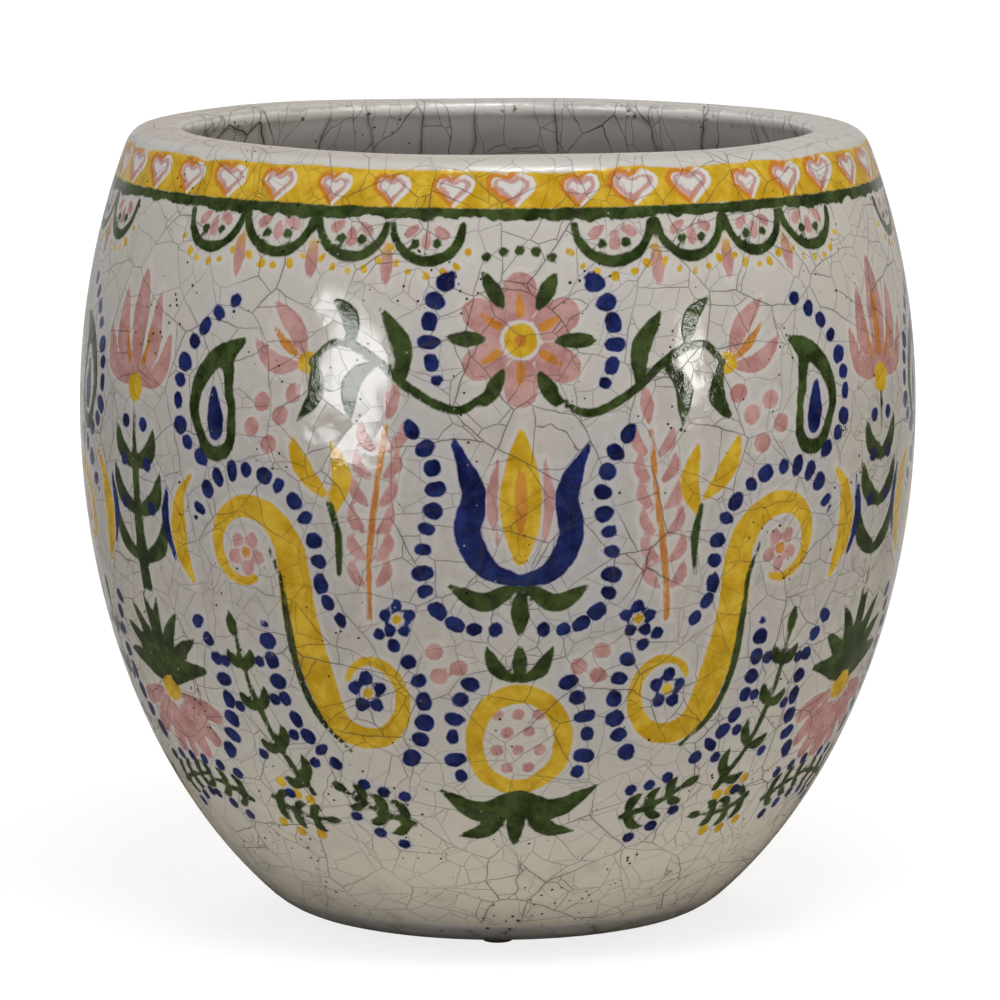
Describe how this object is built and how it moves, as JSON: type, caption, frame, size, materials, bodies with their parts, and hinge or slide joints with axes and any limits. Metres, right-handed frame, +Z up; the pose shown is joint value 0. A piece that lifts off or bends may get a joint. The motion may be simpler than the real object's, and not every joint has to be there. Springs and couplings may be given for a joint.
{
  "type": "ceramic planter",
  "caption": "Barrel-shaped glazed earthenware planter with a thick rounded lip, a foot ring, a drain hole with a lift-out rubber plug, and rubber pads to stand on.",
  "frame": {"origin": "on the ground under the middle of the pot, where its upright axis meets the plane that the pads stand on", "axes": "+Z up along the pot's axis, -Y towards the viewer of the picture, +X to the viewer's right"},
  "size_m": [0.214, 0.214, 0.2023],
  "materials": {
    "crackle_glaze": "glossy off-white crackle glaze over earthenware, painted with folk ornament in blue, green, yellow and pink",
    "plug_rubber": "matt moulded black rubber",
    "pad_rubber": "matt grey moulded rubber"
  },
  "bodies": {
    "planter": {"planter_body": "crackle_glaze", "foot_pad_1": "pad_rubber", "foot_pad_2": "pad_rubber", "foot_pad_3": "pad_rubber", "foot_pad_4": "pad_rubber"},
    "plug": {"drain_plug": "plug_rubber"}
  },
  "joints": [
    {"name": "plug_lift", "type": "slide", "parent": "planter", "child": "plug", "axis": [0, 0, 1], "range_m": [0, 0.205]}
  ]
}
